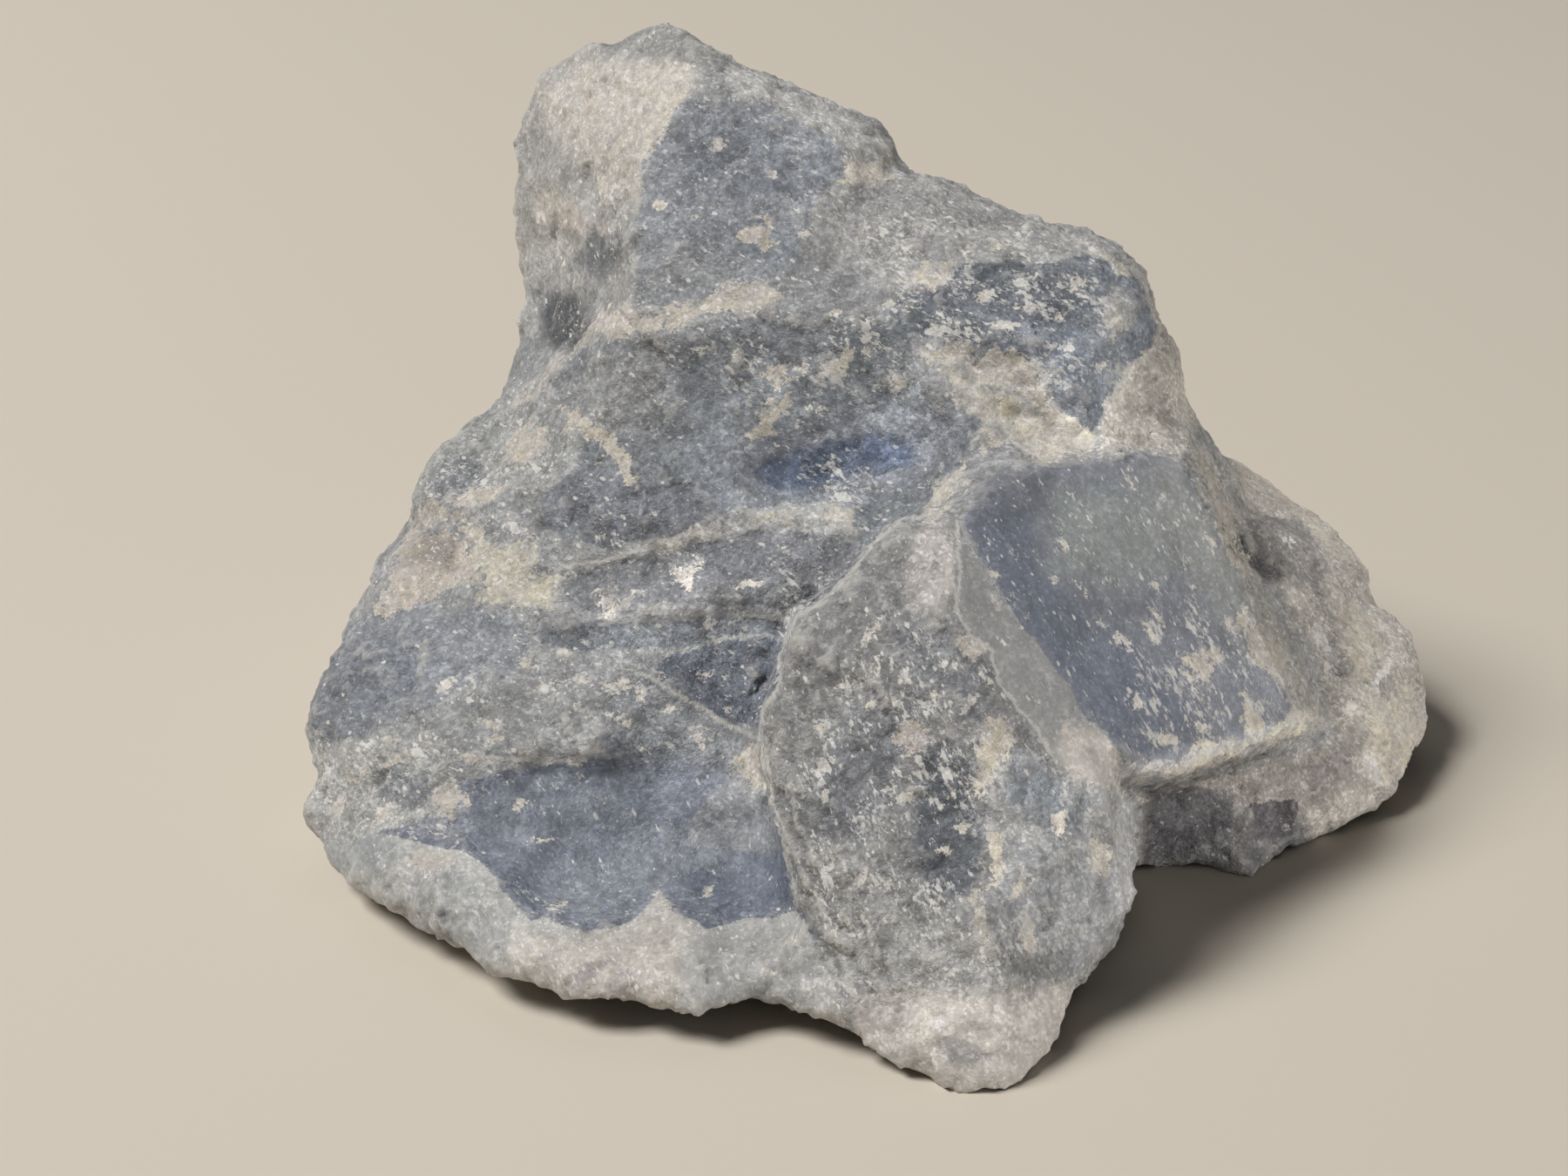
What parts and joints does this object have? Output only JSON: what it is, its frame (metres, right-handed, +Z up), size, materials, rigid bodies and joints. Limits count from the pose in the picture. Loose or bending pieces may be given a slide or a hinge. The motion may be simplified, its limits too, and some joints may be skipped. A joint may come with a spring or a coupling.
{
  "type": "blue calcite",
  "caption": "Rough lump of blue calcite with a leaning head, a ledged slope, a front ridge with a smooth cleavage face and a rear lump.",
  "frame": {"origin": "on the surface that the stone rests on, under the middle of its footprint", "axes": "+Z up, -Y towards the broken front with the ledged slope and the front ridge, +X towards the rear lump's side"},
  "size_m": [0.0544, 0.0514, 0.0346],
  "materials": {
    "calcite": "matte"
  },
  "bodies": {
    "root": {"calcite": "calcite"}
  },
  "joints": []
}
